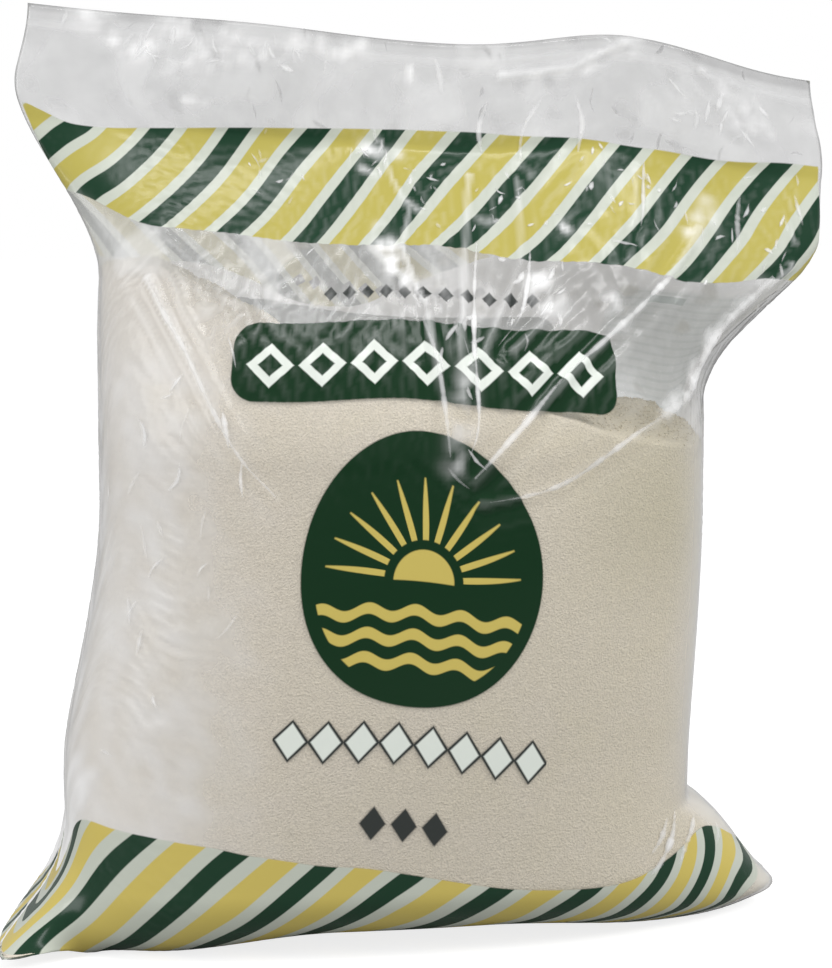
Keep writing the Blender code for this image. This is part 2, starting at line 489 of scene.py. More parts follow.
# Pulls the links to their lengths, step by step, and keeps the film near the bag's form.
def settle(start, normals):
    slackAcross, slackUp = slackMaps()
    links = []
    for down, over, strength in crumple["links"]:
        first, second = linkEnds(start, down, over)
        slack = (slackAcross * over ** 2 + slackUp * down ** 2) / (over ** 2 + down ** 2)
        longer = 1 + linkEnds(slack[..., None], down, over)[0][..., 0]
        links.append((down, over, np.linalg.norm(second - first, axis=-1) * longer, strength))
    pulls = np.zeros(start.shape[:3])
    for down, over, rest, strength in links:
        for end in linkEnds(pulls, down, over):
            end += strength
    onFloor = home[..., 2] < crumple["floorGap"] * 2
    freedom = 1 - crumple["rimHold"] * ease(np.abs(across), *crumple["rim"])
    dice = np.random.default_rng(crumple["seed"])
    panels = (start + normals * (crushed(dice) * crumple["seedSize"])[..., None]).astype(np.float32)
    links = [(down, over, rest.astype(np.float32), strength) for down, over, rest, strength in links]
    normals, middle = normals.astype(np.float32), home.astype(np.float32)
    pulls, freedom = pulls.astype(np.float32), freedom.astype(np.float32)
    before = panels.copy()
    for step in range(crumple["steps"]):
        move = np.zeros_like(panels)
        for down, over, rest, strength in links:
            first, second = linkEnds(panels, down, over)
            gap = second - first
            reach = np.sqrt((gap ** 2).sum(-1))
            push = gap * (0.5 * strength * (1 - rest / np.maximum(reach, 1e-6)))[..., None]
            near, far = linkEnds(move, down, over)
            near += push
            far -= push
        move *= crumple["haste"] / pulls[..., None]
        after = panels + move + crumple["momentum"] * (panels - before)
        before = panels
        offset = after - middle
        rise = (offset * normals).sum(-1)
        slide = offset - normals * rise[..., None]
        slide *= (crumple["slide"] / np.maximum(np.sqrt((slide ** 2).sum(-1)), crumple["slide"]))[..., None]
        rise = rise * (1 - crumple["hold"])
        rise = np.clip(rise, -crumple["inward"] * freedom, crumple["outward"] * freedom)
        after = middle + slide + normals * rise[..., None]
        after[onFloor] = middle[onFloor]
        after[..., 2] = np.maximum(after[..., 2], 0)
        rim = (after[0] + after[1]) / 2
        for edge in (np.s_[0], np.s_[-1], np.s_[:, 0], np.s_[:, -1]):
            after[0][edge] = rim[edge]
            after[1][edge] = rim[edge]
        panels = after
    return panels.astype(float)


normals = panelNormals(home)
creased = home + normals * foldRise()[..., None]
filmPanels = settle(creased, normals)
print("film settled")


def makeMesh(name, points, quadsOf):
    mesh = bpy.data.meshes.new(name)
    mesh.from_pydata(points.tolist(), [], quadsOf.tolist())
    mesh.shade_smooth()
    return newObject(name, mesh)


def storeValues(piece, name, values):
    layer = piece.data.attributes.new(name, "FLOAT", "POINT")
    layer.data.foreach_set("value", values.astype(np.float32).ravel())


# The printed bands. Their green stripes' middles are lines on the flat front film, from left to right,
# in millimetres across and up; the bands' edges are curves of the same kind.
stripes = {
    "pitch": 0.0288,
    "stiffness": 0.03,
    "topLines": (
        ((-128, 350), (-138.5, 348), (-144, 341)),
        ((-99, 352.5), (-114.5, 338.5), (-125, 328), (-131, 328.5), (-137, 324.5)),
        ((-68, 355.5), (-82, 339.5), (-98, 324.5), (-111.5, 312.5)),
        ((-37, 358), (-50.5, 346), (-64, 328.5), (-79.5, 314)),
        ((-7, 361), (-22, 343.5), (-36, 326), (-47.5, 311.5)),
        ((21, 362.5), (5.5, 341.5), (-3, 323), (-14, 310)),
        ((50.5, 358), (33, 338.5), (17.5, 316.5), (10.5, 311.5)),
        ((76.5, 353.5), (60, 332), (48, 315.5), (37.5, 306.5)),
        ((102.5, 356.5), (87, 335), (72.5, 315), (66, 306)),
        ((134.5, 363), (117.5, 345), (104, 326), (96.5, 308)),
        ((149.5, 349.5), (137, 336), (129.5, 322)),
    ),
    "topHigh": (
        (-145, 359), (-138, 352), (-122, 351), (-99, 353.5), (-68, 356), (-37, 359), (-7, 361),
        (21, 362), (50, 358.5), (76, 354.5), (102, 357), (133, 363),
    ),
    "topLow": (
        (-139, 324.5), (-128, 318), (-114, 312), (-78, 313.5), (-47, 311.5), (-15, 309), (11, 311),
        (37, 306.5), (66, 305.5), (95, 307.5), (130, 321),
    ),
    "bottomLines": (
        ((-117.5, 97), (-137, 82), (-149.5, 68)),
        ((-84.5, 90.5), (-100, 73.5), (-114.5, 62), (-126, 59.5)),
        ((-53, 93), (-68.5, 73), (-82, 59), (-90, 43)),
        ((-23, 93), (-38, 77.5), (-48, 64.5), (-59.5, 53)),
        ((5, 89.5), (-7, 79.5), (-17, 69), (-26, 61)),
        ((31.5, 89), (19.5, 78), (11.5, 63)),
        ((59, 88), (46, 79), (38, 62)),
        ((93.5, 93.5), (83.5, 86.5), (72, 80.5), (64, 72)),
        ((113.5, 102), (112.5, 92.5), (102, 83.5), (95, 76.5), (87.5, 69.5)),
        ((133, 87), (129, 78), (113, 72.5), (104.5, 69)),
    ),
    "bottomHigh": (
        (-140, 101), (-117.5, 98), (-103.5, 92.5), (-71, 91.5), (-39, 94.5), (4.5, 90.5), (31.5, 89.5),
        (70.5, 90), (94.5, 94), (104.5, 97.5), (113.5, 101), (127, 95.5), (139, 81.5),
    ),
    "earPast": 0.30,
    "sides": 0.1485,
    "topAbove": 0.2,
    "earFrom": 0.08,
    "backTop": {
        "slope": 1.17, "greenAt": 0.0370, "atUp": 0.3035, "high": 0.3500,
        "low": (
            (-130, 322), (-50, 314), (-20, 300), (10, 281), (35, 279), (55, 285), (86, 296), (130, 302),
        ),
    },
    "backBottom": {"slope": 1.05, "greenAt": 0.0058, "atUp": 0.0920, "high": 0.0920},
    "green": (0.27, 0.31),
    "yellow": (0.34, 0.37),
}


# The height of a curve at any place, with its corners rounded off.
def edgeOf(curve, at):
    sides, heights = metres(curve).T
    near = [np.interp(at + step, sides, heights) for step in (-0.006, -0.003, 0, 0.003, 0.006)]
    return sum(near) / len(near)


# Counts the green stripes at any place: a thin plate, bent through the numbers along the lines. Its
# places are in decimetres.
def countStripes(lines, side, height):
    spots = metres([spot for line in lines for spot in line]) * 10
    counts = [number for number, line in enumerate(lines) for _ in line]
    size = len(spots)

    def bend(distance):
        return distance ** 2 * np.log(np.maximum(distance, 1e-9))

    system = np.zeros((size + 3, size + 3))
    system[:size, :size] = bend(np.linalg.norm(spots[:, None] - spots[None], axis=2))
    system[:size, :size] += stripes["stiffness"] * np.eye(size)
    system[:size, size] = system[size, :size] = 1
    system[:size, size + 1:] = spots
    system[size + 1:, :size] = spots.T
    weights = np.linalg.solve(system, np.concatenate([counts, np.zeros(3)]))
    total = weights[size] + weights[size + 1] * side * 10 + weights[size + 2] * height * 10
    for weight, spot in zip(weights, spots):
        total = total + weight * bend(np.hypot(side * 10 - spot[0], height * 10 - spot[1]))
    return total


# For each point: how many stripes along a band it is, and how far inside the band.
def bandField(panel):
    side, height = across[panel] * (1, -1)[panel], up[panel]
    isTop = height > stripes["topAbove"]
    if panel:
        top, bottom = stripes["backTop"], stripes["backBottom"]
        counts = [
            (side - band["slope"] * (height - band["atUp"]) - band["greenAt"]) / stripes["pitch"]
            for band in (bottom, top)
        ]
        topDepth = np.minimum(height - edgeOf(top["low"], side), top["high"] - height)
        bottomDepth = bottom["high"] - height
    else:
        counts = [countStripes(stripes[key], side, height) for key in ("bottomLines", "topLines")]
        low, high = edgeOf(stripes["topLow"], side), edgeOf(stripes["topHigh"], side)
        topDepth = np.minimum(height - low, high - height)
        pastEar = (len(stripes["bottomLines"]) - 1 + stripes["earPast"] - counts[0]) * stripes["pitch"]
        pastEar = np.where(side > stripes["earFrom"], pastEar, 1)
        bottomDepth = np.minimum(edgeOf(stripes["bottomHigh"], side) - height, pastEar)
    depth = np.minimum(np.where(isTop, topDepth, bottomDepth), stripes["sides"] - np.abs(side))
    return np.stack([np.where(isTop, counts[1], counts[0]), depth], -1)


# The back's print runs the other way and starts one metre along, so a material can tell them apart.
filmUvs = [np.stack([across[0], up[0]], 2), np.stack([1 - across[1], up[1]], 2)]
bandUvs = [bandField(0), bandField(1)]
filmPiece = makeMesh("film_bag", onePoint(filmPanels), faces)
for label, (front, back) in (("flatFilm", filmUvs), ("bands", bandUvs)):
    corners = np.concatenate([quads(front, False), quads(back, True)])
    layer = filmPiece.data.uv_layers.new(name=label)
    layer.data.foreach_set("uv", corners.astype(np.float32).ravel())
print("film mesh", len(faces), "quads")


def newMaterial(name):
    material = bpy.data.materials.new(name)
    material.use_nodes = True
    material.node_tree.nodes.clear()
    return material, material.node_tree


def plug(source, target):
    if isinstance(source, bpy.types.NodeSocket):
        target.id_data.links.new(source, target)
    else:
        target.default_value = source


# Adds a node and fills its inputs, by name or number: a socket is linked, a value is set.
def node(tree, kind, inputs=(), **settings):
    made = tree.nodes.new(kind)
    for key, value in settings.items():
        setattr(made, key, value)
    for key, value in dict(inputs).items():
        plug(value, made.inputs[key])
    return made


def finishShader(shader, kind="Material"):
    node(shader.id_data, "ShaderNodeOutput" + kind, {0: shader})


# A math node, in the tree of the first socket among its values.
def calc(operation, *values, clamp=False):
    tree = next(value.id_data for value in values if isinstance(value, bpy.types.NodeSocket))
    return node(tree, "ShaderNodeMath", enumerate(values), operation=operation, use_clamp=clamp).outputs[0]


def plus(first, second):
    return calc("ADD", first, second)


def minus(first, second, clamp=False):
    return calc("SUBTRACT", first, second, clamp=clamp)


def times(first, second):
    return calc("MULTIPLY", first, second)


def over(first, second, clamp=False):
    return calc("DIVIDE", first, second, clamp=clamp)


def most(first, second):
    return calc("MAXIMUM", first, second)


def scaled(value, factor, base, clamp=False):
    return calc("MULTIPLY_ADD", value, factor, base, clamp=clamp)


def parts(vector):
    return node(vector.id_data, "ShaderNodeSeparateXYZ", {0: vector}).outputs


def mixColor(share, first, second):
    return node(share.id_data, "ShaderNodeMix", {0: share, 6: first, 7: second}, data_type="RGBA").outputs[2]


def mixShader(share, first, second):
    return node(share.id_data, "ShaderNodeMixShader", {0: share, 1: first, 2: second}).outputs[0]


def noise(vector, scale, detail, distortion):
    inputs = {"Vector": vector, "Scale": scale, "Detail": detail, "Distortion": distortion}
    return node(vector.id_data, "ShaderNodeTexNoise", inputs, noise_dimensions="3D").outputs[0]


def srgb(red, green, blue):
    def linear(value):
        value /= 255
        return value / 12.92 if value <= 0.04045 else ((value + 0.055) / 1.055) ** 2.4
    return (linear(red), linear(green), linear(blue), 1)


# 1 from low to high, with soft edges inside them.
def within(value, low, high, soft):
    return times(over(minus(value, low), soft, True), over(minus(high, value), soft, True))


def length(first, second):
    return calc("SQRT", scaled(first, first, times(second, second)))


def away(value, middle):
    return calc("ABSOLUTE", minus(value, middle))


def inside(distance, soft):
    return minus(0.5, over(distance, soft), True)


def roundedBox(across, up, place, soft):
    outX = minus(away(across, place["at"][0]), place["half"][0] - place["radius"])
    outY = minus(away(up, place["at"][1]), place["half"][1] - place["radius"])
    distance = plus(length(most(outX, 0), most(outY, 0)), calc("MINIMUM", most(outX, outY), 0))
    return inside(minus(distance, place["radius"]), soft)


badge = {
    "panel": {"at": (0.0, 0.2643), "half": (0.0702, 0.0143), "radius": 0.0085},
    "panelMarks": {"at": (0, 0.2630), "count": 7, "pitch": 0.0188, "half": (0.0086, 0.008), "stroke": 0.0027},
    "field": {"at": (-0.0020, 0.1935), "half": (0.0420, 0.0460), "rim": 0.0045},
    "sun": {
        "at": (-0.0020, 0.1900), "radius": 0.0105, "rays": 11, "from": 0.0135, "to": 0.0345,
        "rayWidth": (0.26, 0.02), "raySoft": 0.06,
    },
    "waves": {"top": 0.1790, "step": 0.0082, "count": 3, "thick": 0.0019, "swing": 0.0014, "length": 0.0160},
    "whiteRow": {"at": (0.001, 0.1348), "count": 8, "pitch": 0.0118, "half": (0.005, 0.0062), "stroke": 0},
    "smallRow": {"at": (0.001, 0.1072), "count": 3, "pitch": 0.0105, "half": (0.0044, 0.0058), "stroke": 0},
    "thinRow": {"at": (0.001, 0.29), "count": 11, "pitch": 0.0074, "half": (0.0026, 0.0028), "stroke": 0},
    "smallPrint": {"at": (-0.1130, 0.2815), "half": (0.0255, 0.0235), "radius": 0.0020},
    "smallHeader": {"at": (-0.1070, 0.3010), "half": (0.0070, 0.0016), "radius": 0.0005},
    "smallLines": {"skew": 0.35, "step": 0.003, "share": 0.45, "soft": 0.12, "strength": 0.16, "field": 0.34},
    "outline": 0.0013,
    "markSlope": 0.7,
    "margin": 1.6,
}

ink = {
    "green": srgb(18, 54, 34),
    "yellow": srgb(200, 182, 96),
    "topYellowShaded": srgb(178, 167, 84),
    "gap": srgb(190, 195, 183),
    "panelGreen": srgb(6, 46, 20),
    "white": srgb(222, 228, 220),
    "dark": srgb(50, 54, 52),
    "smallPrint": srgb(110, 136, 128),
    "inside": srgb(216, 213, 206),
    "insideShare": 0.40,
    "insideClear": 0.50,
    "softEdge": 0.0005,
    "glintOverInk": 0.85,
    "roughness": 0.22,
    "specular": 0.30,
}


# A row of diamonds; with a stroke they are open ones.
def markRow(across, up, row, grow=0.0):
    first = row["at"][0] - row["count"] * row["pitch"] / 2
    along = over(minus(across, first), row["pitch"])
    live = within(along, 0, row["count"], 0.001)
    local = times(away(calc("FRACT", along), 0.5), row["pitch"] / (row["half"][0] + grow))
    height = over(away(up, row["at"][1]), row["half"][1] + grow)
    distance = times(minus(plus(local, height), 1.0), (min(row["half"]) + grow) * badge["markSlope"])
    if row["stroke"]:
        distance = minus(calc("ABSOLUTE", plus(distance, row["stroke"] / 2)), row["stroke"] / 2)
    return times(inside(distance, ink["softEdge"]), live)


# The upper half of a disc, with rays that narrow outwards.
def sunMask(across, up):
    sun = badge["sun"]
    right, above = minus(across, sun["at"][0]), minus(up, sun["at"][1])
    distance = length(right, above)
    disc = inside(minus(distance, sun["radius"]), ink["softEdge"])
    turn = over(calc("ARCTAN2", above, right), math.pi / sun["rays"])
    share = over(minus(distance, sun["from"]), sun["to"] - sun["from"], True)
    start, end = sun["rayWidth"]
    rays = inside(minus(away(calc("FRACT", turn), 0.5), scaled(share, end - start, start)), sun["raySoft"])
    rays = times(rays, within(distance, sun["from"], sun["to"], ink["softEdge"]))
    return times(most(disc, rays), inside(times(above, -1.0), ink["softEdge"]))


def waveMask(across, up):
    waves = badge["waves"]
    swing = calc("SINE", times(across, 2 * math.pi / waves["length"]))
    step = over(minus(waves["top"], scaled(swing, waves["swing"], up)), waves["step"])
    live = within(step, -0.5, waves["count"] - 0.5, 0.01)
    line = times(away(calc("FRACT", plus(step, 0.5)), 0.5), waves["step"])
    return times(inside(minus(line, waves["thick"]), ink["softEdge"]), live)


# Adds one field of ink over what is printed already; on bare film its soft edge has its own colour.
def overprint(printed, mask, color, onFilm=False):
    share = calc("GREATER_THAN", mask, 0.0) if onFilm else mask
    return most(printed[0], mask), mixColor(share, printed[1], color)


def bandNodes(tree, up):
    run, depth = parts(node(tree, "ShaderNodeUVMap", uv_map="bands").outputs[0])[:2]
    upper = calc("GREATER_THAN", up, film["height"] / 2)
    green, yellow = (
        scaled(upper, stripes[key][1] - stripes[key][0], stripes[key][0]) for key in ("green", "yellow")
    )
    soft = ink["softEdge"] / stripes["pitch"]
    offMiddle = away(calc("FRACT", run), 0.5)
    toYellow = minus(offMiddle, times(yellow, 0.5))
    toGreen = minus(minus(0.5, offMiddle), times(green, 0.5))
    # The top band's yellow is a darker copy of the bottom band's ink: painted shade.
    gold = mixColor(upper, ink["yellow"], ink["topYellowShaded"])
    paint = mixColor(inside(toYellow, soft), ink["gap"], gold)
    paint = mixColor(inside(toGreen, soft), paint, ink["green"])
    return over(depth, ink["softEdge"], True), paint


# The whole print, as how much ink there is and its colour; the small print is on the back only.
def printNodes(tree, across, up, isBack):
    soft = ink["softEdge"]
    side = minus(across, isBack)
    printed = bandNodes(tree, up)
    printed = overprint(printed, roundedBox(side, up, badge["panel"], soft), ink["panelGreen"], True)
    printed = overprint(printed, markRow(side, up, badge["panelMarks"]), ink["white"])
    field = badge["field"]
    ovalX, ovalY = (
        over(away(value, middle), half) for value, middle, half in zip((side, up), field["at"], field["half"])
    )
    oval = times(minus(length(ovalX, ovalY), 1.0), min(field["half"]))
    printed = overprint(printed, inside(oval, soft), ink["panelGreen"], True)
    motif = most(sunMask(side, up), waveMask(side, up))
    printed = overprint(printed, times(motif, inside(plus(oval, field["rim"]), soft)), ink["yellow"])
    outline = markRow(side, up, badge["whiteRow"], badge["outline"])
    printed = overprint(printed, outline, ink["dark"], True)
    printed = overprint(printed, markRow(side, up, badge["whiteRow"]), ink["white"])
    for row in ("smallRow", "thinRow"):
        printed = overprint(printed, markRow(side, up, badge[row]), ink["dark"], True)
    rules = badge["smallLines"]
    level = scaled(minus(side, badge["smallPrint"]["at"][0]), rules["skew"], up)
    words = within(calc("FRACT", over(level, rules["step"])), 0.0, rules["share"], rules["soft"])
    faint = scaled(words, rules["strength"], rules["field"])
    faint = times(faint, roundedBox(side, level, badge["smallPrint"], soft * 4))
    faint = most(faint, roundedBox(side, level, badge["smallHeader"], soft))
    return overprint(printed, times(faint, isBack), ink["smallPrint"], True)


# The film's looks. Places are metres on the flat film, or across the bag for the neck's four values.
filmLook = {
    "seed": 7,
    "looseAt": (0.242, 0.290),
    "flapAt": (0.297, 0.335),
    "leftAt": (0.046, 0.098),
    "earAt": (0.104, 0.128),
    "earTop": (0.105, 0.135),
    "sideAt": (0.10, 0.13),
    "neckAt": (-0.12, -0.085, -0.015, 0.060),
    "calmAt": (0.0, 0.045),
    "calm": 0.75,
    "tint": 0.965,
    "flapTint": 0.81,
    "flapMottle": (0.012, 0.008),
    "flapBlurs": (9, 3),
    "neckTintAndShade": (0.92, 0.87, 0.82, 0.69),
    "rim": 0.0028,
    "rimTint": 0.10,
    "frost": 0.03,
    "flapFrost": 0.10,
    "neckFrost": (0.42, 0.20, 0.12, 0.05),
    "backNeckFrost": (0.45, 0.45, 0.25, 0.40),
    "leftHazeAndSheen": 0.44,
    "mottleBlur": 14,
    "mottleFrost": 0.05,
    "mottleShift": 0.002,
    "earFrost": 0.30,
    "patchBlur": 40,
    "patchAt": (0.2, 1.6),
    "patchFrost": 0.20,
    "patchLeft": 0.3,
    "rightSheenFacing": (0.55, 0.98),
    "rightSheenFrom": (0.08, 0.16),
    "rightSheen": 0.40,
    "rightSheenBlur": 25,
    "seal": (0.0050, 0.0085, 0.001),
    "sealFrost": 0.18,
    "stressGlintDepth": 0.0006,
    "stressGlintBlur": 8,
    "stressGlintWhite": 0.50,
    "stressGlintLeast": 0.15,
    "stressGlintLeft": 0.6,
    "glintWhite": 1.3,
    "glintBlur": 4,
    "glintBroken": (0.55, 0.35),
    "backGlints": {"blur": 10, "at": (1.2, 2.6), "white": 0.6, "left": 0.4},
    "most": 0.95,
    "frostAndGlintWhite": (0.92, 0.92, 0.92, 1),
    "roughness": 0.21,
    "edgeGloss": 0.9,
    "faceGloss": 0.045,
    "glossPower": 4.0,
}

# Painted highlights on the front: soft white glints where the crumpled film would catch the light, as
# strength, half width, then points across and below the top edge, in millimetres.
paintedGlints = (
    (0.55, 2.8, (-128, 2), (-119, 9), (-112, 14)),
    (0.80, 4.2, (-109, 13), (-100, 8), (-92, 5)),
    (0.85, 4.6, (-92, 17), (-84, 12), (-76, 13)),
    (0.75, 2.2, (-75, 4), (-72, 5.5)),
    (0.65, 1.8, (-65.5, 7), (-63.5, 8)),
    (0.75, 3, (-68, 13), (-56, 9), (-46, 4)),
    (0.60, 3.4, (-38, 6), (-28, 7), (-21, 4)),
    (0.50, 1.5, (-88, 28), (-81, 28.5), (-73, 27)),
    (0.55, 1.4, (-2, 10), (-2, 14)),
    (0.70, 2.4, (60, 11), (68, 8), (74.5, 5)),
    (0.45, 1.8, (35, 11.6), (48, 11.8), (60, 11)),
    (0.50, 2.2, (95, 16), (106, 17), (117.6, 15.8)),
    (0.50, 1.8, (107.5, 8.6), (112, 11.5), (117.6, 14.6)),
    (0.45, 3.4, (116, 18), (128, 19)),
    (0.85, 2.6, (-18.5, 38), (-12, 41), (-7, 40)),
    (0.60, 2, (-21, 48), (-16, 50)),
    (0.55, 1.8, (-3, 62.5), (1, 65)),
    (0.60, 1.8, (20, 67), (24, 68)),
    (0.60, 1.8, (49, 70), (52, 74)),
    (0.60, 4, (103, 52), (100, 60), (96, 64)),
    (0.90, 5, (-14.5, 82), (-11, 89), (-8.5, 96)),
    (0.70, 3, (-16, 75), (-14.5, 82)),
    (0.60, 5, (40, 94), (46, 104)),
    (0.45, 4, (67, 100), (73, 108)),
    (0.40, 4.2, (14, 125), (12, 150), (9, 163)),
    (0.35, 3, (124, 75), (114, 95), (106, 118), (90, 132)),
)


# Smooth random patches over both panels, with a mean of 0 and a spread of 1.
def softNoise(dice, rounds):
    panels = np.stack([blurred(dice.normal(0, 1, (rows, columns)), rounds) for _ in range(2)])
    return panels / panels.std()


def between(value, low, high, soft):
    return np.clip((value - low) / soft, 0, 1) * np.clip((high - value) / soft, 0, 1)


# How milky, how grey and how whitened the film is, at every point, with painted sheen, shade and glints among
# them.
def filmState():
    look = filmLook
    dice = np.random.default_rng(look["seed"])
    east = home[..., 0]
    loose, flap = ease(up, *look["looseAt"]), ease(up, *look["flapAt"])
    neck = loose * (1 - flap)
    patches = ease(softNoise(dice, look["patchBlur"]), *look["patchAt"])
    mottle = softNoise(dice, look["mottleBlur"])
    shifted = look["mottleShift"] * mottle
    left = ease(-east + shifted, *look["leftAt"]) * (1 - loose)
    ears = ease(np.abs(across) + shifted, *look["earAt"]) * (1 - ease(up, *look["earTop"]))
    relief = ((filmPanels - home) * normals).sum(-1)
    smooth = np.stack([blurred(panel, look["stressGlintBlur"]) for panel in relief])
    calm = 1 - look["calm"] * neck * ease(east, *look["calmAt"])
    crushedAt = np.maximum(loose, look["stressGlintLeft"] * left)
    crushedAt = np.maximum(crushedAt, ease(np.abs(across), *look["sideAt"]))
    # Whitening on the sharp ridges of the crumples: stress-whitened film, and painted glints where the ridges
    # would catch the light.
    stressGlint = np.clip((relief - smooth) / look["stressGlintDepth"], 0, 1) ** 1.5
    stressGlint *= (look["stressGlintLeast"] + (1 - look["stressGlintLeast"]) * crushedAt) * calm

    frost = look["frost"] + neck * np.interp(east, look["neckAt"], look["neckFrost"])
    frost += flap * look["flapFrost"]
    frost[1] += neck[1] * np.interp(east[1], look["neckAt"], look["backNeckFrost"])
    # On the left the film is whiter: milky haze, and painted sheen where the key light would gleam on the
    # crumpled film.
    frost += left * (look["leftHazeAndSheen"] + look["mottleFrost"] * mottle) + ears * look["earFrost"]
    frost += patches * look["patchFrost"] * np.maximum(loose * calm, look["patchLeft"] * left)
    # Painted sheen: the film is whiter where it faces right, on the body below the neck, as if lit from that
    # side.
    edge = np.stack([blurred(panel, look["rightSheenBlur"]) for panel in ease(normals[..., 0], *look["rightSheenFacing"])])
    frost += look["rightSheen"] * edge * (1 - loose) * ease(up, *look["rightSheenFrom"])
    frost += between(fromTop, *look["seal"]) * look["sealFrost"]

    tint = look["tint"] + (look["flapTint"] - look["tint"]) * flap
    # The neck's film darkens towards the right: painted shade.
    tint += (np.interp(east, look["neckAt"], look["neckTintAndShade"]) - look["tint"]) * neck
    for size, blur in zip(look["flapMottle"], look["flapBlurs"]):
        tint += flap * size * softNoise(dice, blur)
    tint -= look["rimTint"] * (fromTop < look["rim"])

    # White: painted glints along the listed lines on the front and in random patches on the back, joined with
    # the ridge whitening.
    white = np.zeros(home.shape[:3])
    share, swing = look["glintBroken"]
    broken = share + swing * softNoise(dice, look["glintBlur"])[0]
    for strength, width, *line in paintedGlints:
        white[0] = np.maximum(white[0], strength * np.exp(-((awayFrom(line) / metres(width)) ** 2)) * broken)
    back = look["backGlints"]
    white[1] = back["white"] * ease(softNoise(dice, back["blur"])[1], *back["at"])
    white[1] *= np.maximum(loose[1], back["left"] * left[1])
    white = np.maximum(white * look["glintWhite"], stressGlint * look["stressGlintWhite"])
    return {"frost": np.clip(frost, 0, look["most"]), "tint": tint, "white": np.clip(white, 0, look["most"])}


for label, values in filmState().items():
    storeValues(filmPiece, label, onePoint(values[..., None]))


def attribute(tree, name, output="Fac"):
    return node(tree, "ShaderNodeAttribute", attribute_name=name).outputs[output]


def filmMaterial(name, isPrinted):
    material, tree = newMaterial(name)
    clear = node(tree, "ShaderNodeBsdfTransparent", {0: attribute(tree, "tint", "Color")}).outputs[0]
    gloss = node(tree, "ShaderNodeBsdfAnisotropic", {"Roughness": filmLook["roughness"]}).outputs[0]
    # One white diffuse serves the film's milky haze and its painted glints.
    milkAndGlint = node(tree, "ShaderNodeBsdfDiffuse", {0: filmLook["frostAndGlintWhite"]}).outputs[0]
    facing = node(tree, "ShaderNodeLayerWeight", {0: 0.5}).outputs["Facing"]
    edge = calc("POWER", facing, filmLook["glossPower"])
    mirror = scaled(edge, filmLook["edgeGloss"], filmLook["faceGloss"], True)
    surface = mixShader(attribute(tree, "frost"), mixShader(mirror, clear, gloss), milkAndGlint)
    creased = attribute(tree, "white")
    if isPrinted:
        across, up = parts(node(tree, "ShaderNodeUVMap", uv_map="flatFilm").outputs[0])[:2]
        cover, paint = printNodes(tree, across, up, calc("GREATER_THAN", across, 0.5))
        hidden = node(tree, "ShaderNodeNewGeometry").outputs["Backfacing"]
        faded = times(hidden, ink["insideShare"])
        inputs = {"Base Color": mixColor(faded, paint, ink["inside"])}
        inputs.update({"Roughness": ink["roughness"], "Specular IOR Level": ink["specular"]})
        solid = node(tree, "ShaderNodeBsdfPrincipled", inputs).outputs[0]
        lit = node(tree, "ShaderNodeBsdfTransparent", {0: mixColor(faded, paint, (1, 1, 1, 1))}).outputs[0]
        surface = mixShader(cover, surface, mixShader(times(hidden, ink["insideClear"]), solid, lit))
        # Over ink the painted glints and stress whitening are a little weaker.
        creased = times(creased, scaled(cover, ink["glintOverInk"] - 1, 1.0))
    finishShader(mixShader(creased, surface, milkAndGlint))
    return material


# Only the faces under ink carry the print's nodes; the rest of the film is plain.
def printedFaces():
    inked = np.stack([field[..., 1] > 0 for field in bandUvs])
    sides = across * np.array([1, -1])[:, None, None]
    areas = [
        (*badge[part]["at"], badge[part]["half"][0], badge[part]["half"][1] * badge["margin"])
        for part in ("panel", "field", "smallPrint")
    ]
    for part in ("whiteRow", "smallRow", "thinRow"):
        row = badge[part]
        areas.append((0, row["at"][1], row["count"] * row["pitch"], row["half"][1] + badge["outline"]))
    for side, level, halfWidth, halfHeight in areas:
        inked |= (np.abs(sides - side) < halfWidth) & (np.abs(up - level) < halfHeight)
    grown = inked.copy()
    for shift in (-1, 1):
        for axis in (1, 2):
            grown |= np.roll(inked, shift, axis)
    corners = [panel[r:rows - 1 + r, c:columns - 1 + c] for panel in grown for r in (0, 1) for c in (0, 1)]
    return np.concatenate([np.any(corners[:4], 0).ravel(), np.any(corners[4:], 0).ravel()])


filmPiece.data.materials.append(filmMaterial("printed_film", True))
filmPiece.data.materials.append(filmMaterial("clear_film", False))
filmPiece.data.polygons.foreach_set("material_index", np.where(printedFaces(), 0, 1).astype(np.int32))
print("film material ready")
